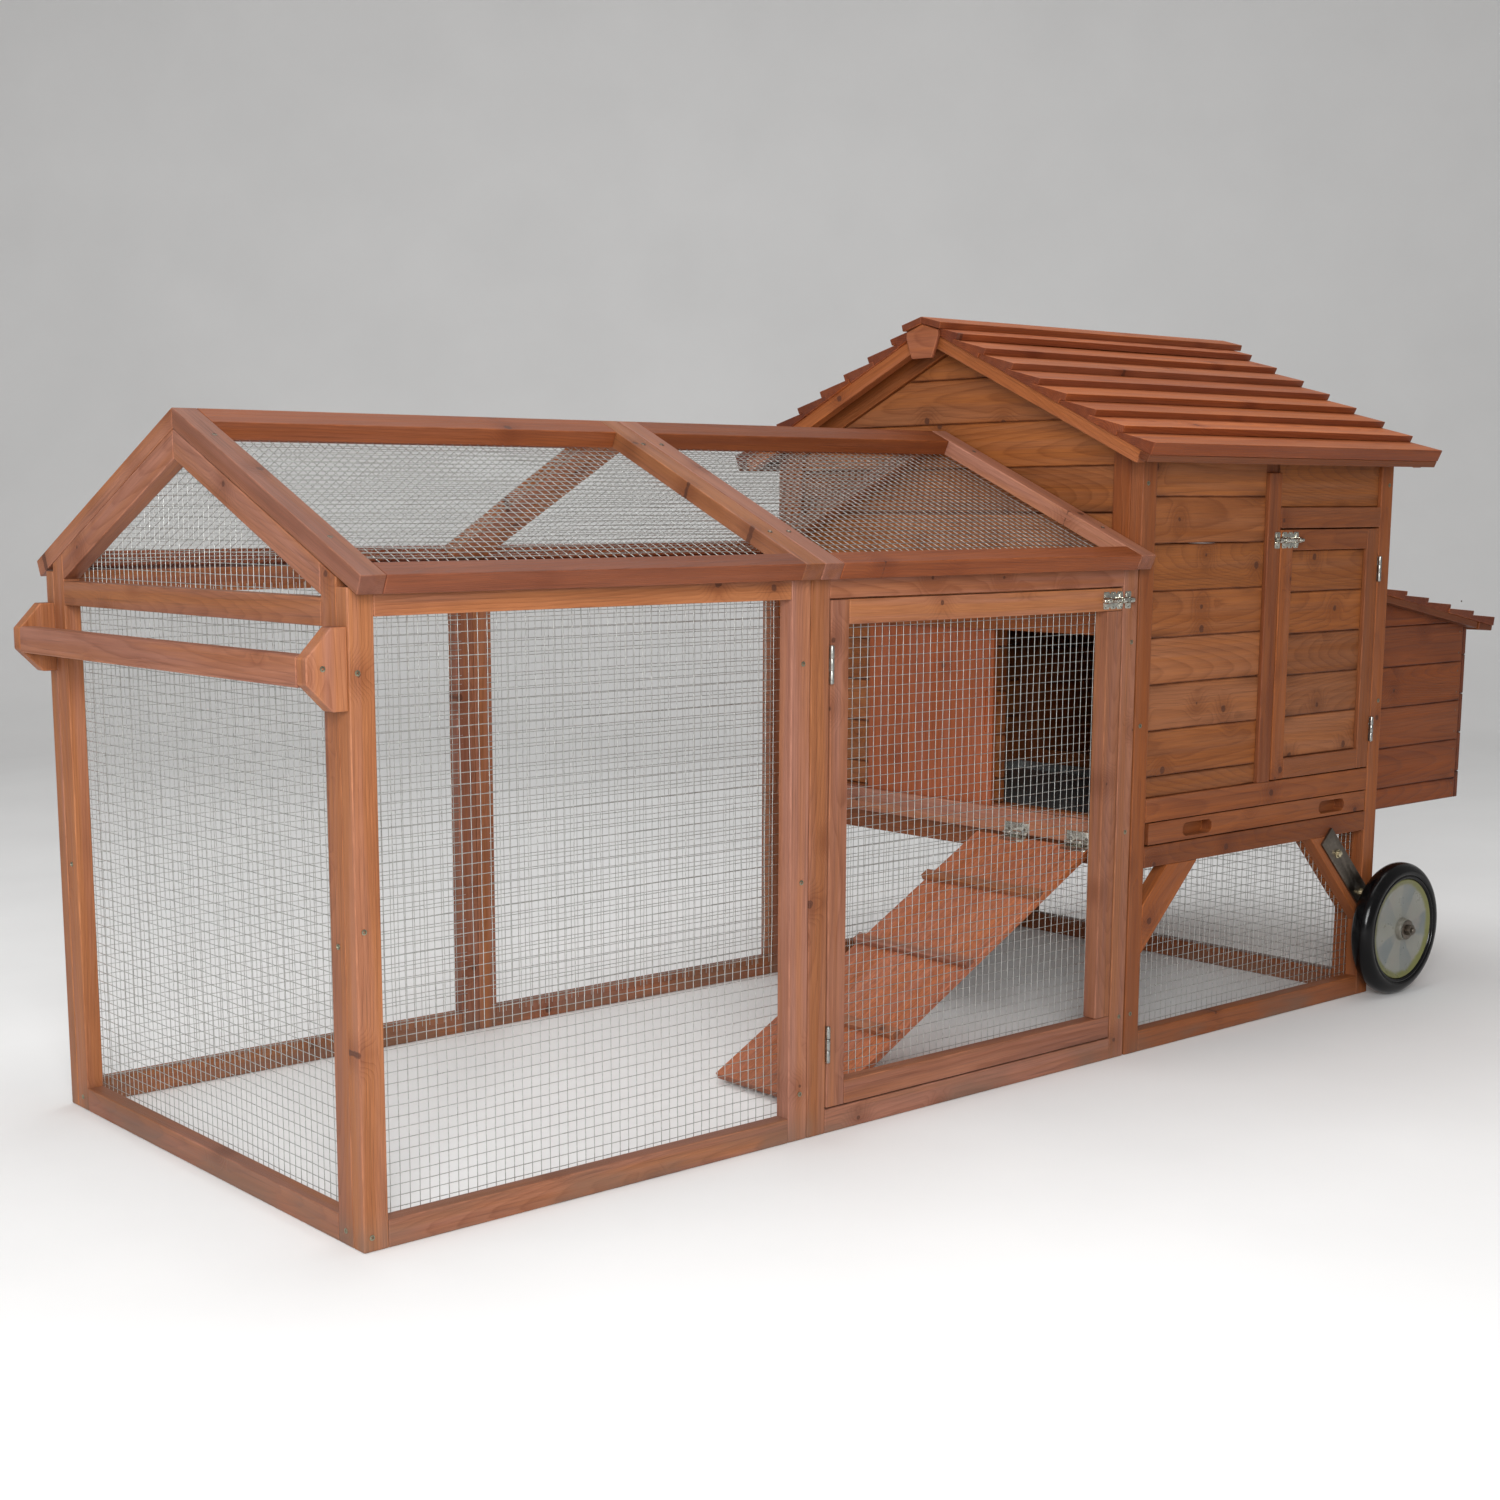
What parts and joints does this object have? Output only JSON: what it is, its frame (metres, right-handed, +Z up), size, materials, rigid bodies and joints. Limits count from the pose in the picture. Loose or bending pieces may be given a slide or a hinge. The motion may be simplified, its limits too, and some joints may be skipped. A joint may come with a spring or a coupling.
{
  "type": "wheeled chicken coop with a mesh run",
  "caption": "Movable timber hen house with a lapped-board roof, a nest box, a mesh run with a pitched mesh roof, a ramp, a cleaning tray, two wheels and a lifting handle.",
  "frame": {"origin": "on the ground, under the middle of the overall length and width", "axes": "+X from the lifting handle towards the nest box, +Y away from the side with the two doors, +Z up"},
  "size_m": [2.3029, 0.8838, 1.0684],
  "materials": {
    "run_timber": "stained fir, matt, orange-pink",
    "house_timber": "stained fir, matt, red-brown",
    "wall_planks": "stained fir planks, matt, brown-orange",
    "roof_timber": "stained fir boards, matt, dark red-brown",
    "plywood": "stained thin board, smooth, matt",
    "wire_mesh": "galvanised welded wire, stood in for by a see-through sheet",
    "zinc_steel": "bright zinc plate",
    "screw_steel": "dark plated screws",
    "tray_steel": "folded galvanised sheet",
    "tyre_rubber": "smooth black rubber",
    "hub_plastic": "milky moulded plastic"
  },
  "bodies": {
    "coop": {"near_run_frames": "run_timber", "far_run_frames": "run_timber", "run_side_mesh": "wire_mesh", "run_end_frame": "run_timber", "run_end_mesh": "wire_mesh", "run_roof_frames": "run_timber", "run_roof_mesh": "wire_mesh", "handle_brackets": "run_timber", "handle_bar": "run_timber", "house_side_frames": "house_timber", "corner_braces": "house_timber", "house_front_frame": "house_timber", "house_rear_frame": "house_timber", "side_wall_planks": "wall_planks", "front_wall_planks": "wall_planks", "rear_wall_planks": "wall_planks", "under_house_mesh": "wire_mesh", "threshold_board": "run_timber", "pop_door_guide": "house_timber", "tray_runners": "house_timber", "roost_bar": "house_timber", "roof_boards": "roof_timber", "ridge_cap": "roof_timber", "barge_boards": "run_timber", "eave_battens": "roof_timber", "finial_blocks": "run_timber", "roof_rafters": "house_timber", "nest_box_planks": "wall_planks", "nest_box_floor": "house_timber", "nest_divider": "house_timber", "wheel_arms": "zinc_steel", "axle_bolts": "zinc_steel", "bolts_and_nuts": "zinc_steel", "hinge_leaves": "zinc_steel", "hinge_pins": "zinc_steel", "frame_screws": "screw_steel", "bolt_keepers": "zinc_steel"},
    "run_door": {"run_door_frame": "run_timber", "run_door_mesh": "wire_mesh", "run_door_hinge_flaps": "zinc_steel", "run_door_latch": "zinc_steel"},
    "run_door_bolt": {"run_door_bolt": "zinc_steel"},
    "house_door": {"house_door_frame": "house_timber", "house_door_planks": "wall_planks", "house_door_hinge_flaps": "zinc_steel", "house_door_latch": "zinc_steel"},
    "house_door_bolt": {"house_door_bolt": "zinc_steel"},
    "tray": {"tray_pan": "tray_steel", "tray_front": "house_timber"},
    "ramp": {"ramp_board": "plywood", "ramp_cleats": "run_timber", "ramp_hinge_flaps": "zinc_steel"},
    "pop_door": {"pop_door": "plywood"},
    "nest_lid": {"lid_boards": "roof_timber", "lid_bars": "house_timber", "lid_hinge_flaps": "zinc_steel"},
    "near_wheel": {"near_tyre": "tyre_rubber", "near_wheel_hub": "hub_plastic"},
    "far_wheel": {"far_tyre": "tyre_rubber", "far_wheel_hub": "hub_plastic"}
  },
  "joints": [
    {"name": "run_door_hinge", "type": "hinge", "parent": "coop", "child": "run_door", "pos_m": [-0.42316, -0.3782, 0.33], "axis": [0, 0, -1], "range_deg": [0, 160]},
    {"name": "run_door_bolt_slide", "type": "slide", "parent": "run_door", "child": "run_door_bolt", "axis": [1, 0, 0], "range_m": [0, 0.02]},
    {"name": "house_door_hinge", "type": "hinge", "parent": "coop", "child": "house_door", "pos_m": [0.77245, -0.3782, 0.564], "axis": [0, 0, 1], "range_deg": [0, 150]},
    {"name": "house_door_bolt_slide", "type": "slide", "parent": "house_door", "child": "house_door_bolt", "axis": [-1, 0, 0], "range_m": [0, 0.02]},
    {"name": "tray_slide", "type": "slide", "parent": "coop", "child": "tray", "axis": [0, -1, 0], "range_m": [0, 0.6]},
    {"name": "ramp_hinge", "type": "hinge", "parent": "coop", "child": "ramp", "pos_m": [0.15144, -0.2145, 0.3065], "axis": [0, 1, 0], "range_deg": [0, 60]},
    {"name": "pop_door_slide", "type": "slide", "parent": "coop", "child": "pop_door", "axis": [0, -1, 0], "range_m": [0, 0.2]},
    {"name": "nest_lid_hinge", "type": "hinge", "parent": "coop", "child": "nest_lid", "pos_m": [0.80805, 0, 0.6607], "axis": [0, -1, 0], "range_deg": [0, 80]},
    {"name": "near_wheel_spin", "type": "hinge", "parent": "coop", "child": "near_wheel", "pos_m": [0.82764, -0.406, 0.109], "axis": [0, 1, 0], "continuous": true},
    {"name": "far_wheel_spin", "type": "hinge", "parent": "coop", "child": "far_wheel", "pos_m": [0.82764, 0.406, 0.109], "axis": [0, 1, 0], "continuous": true}
  ]
}
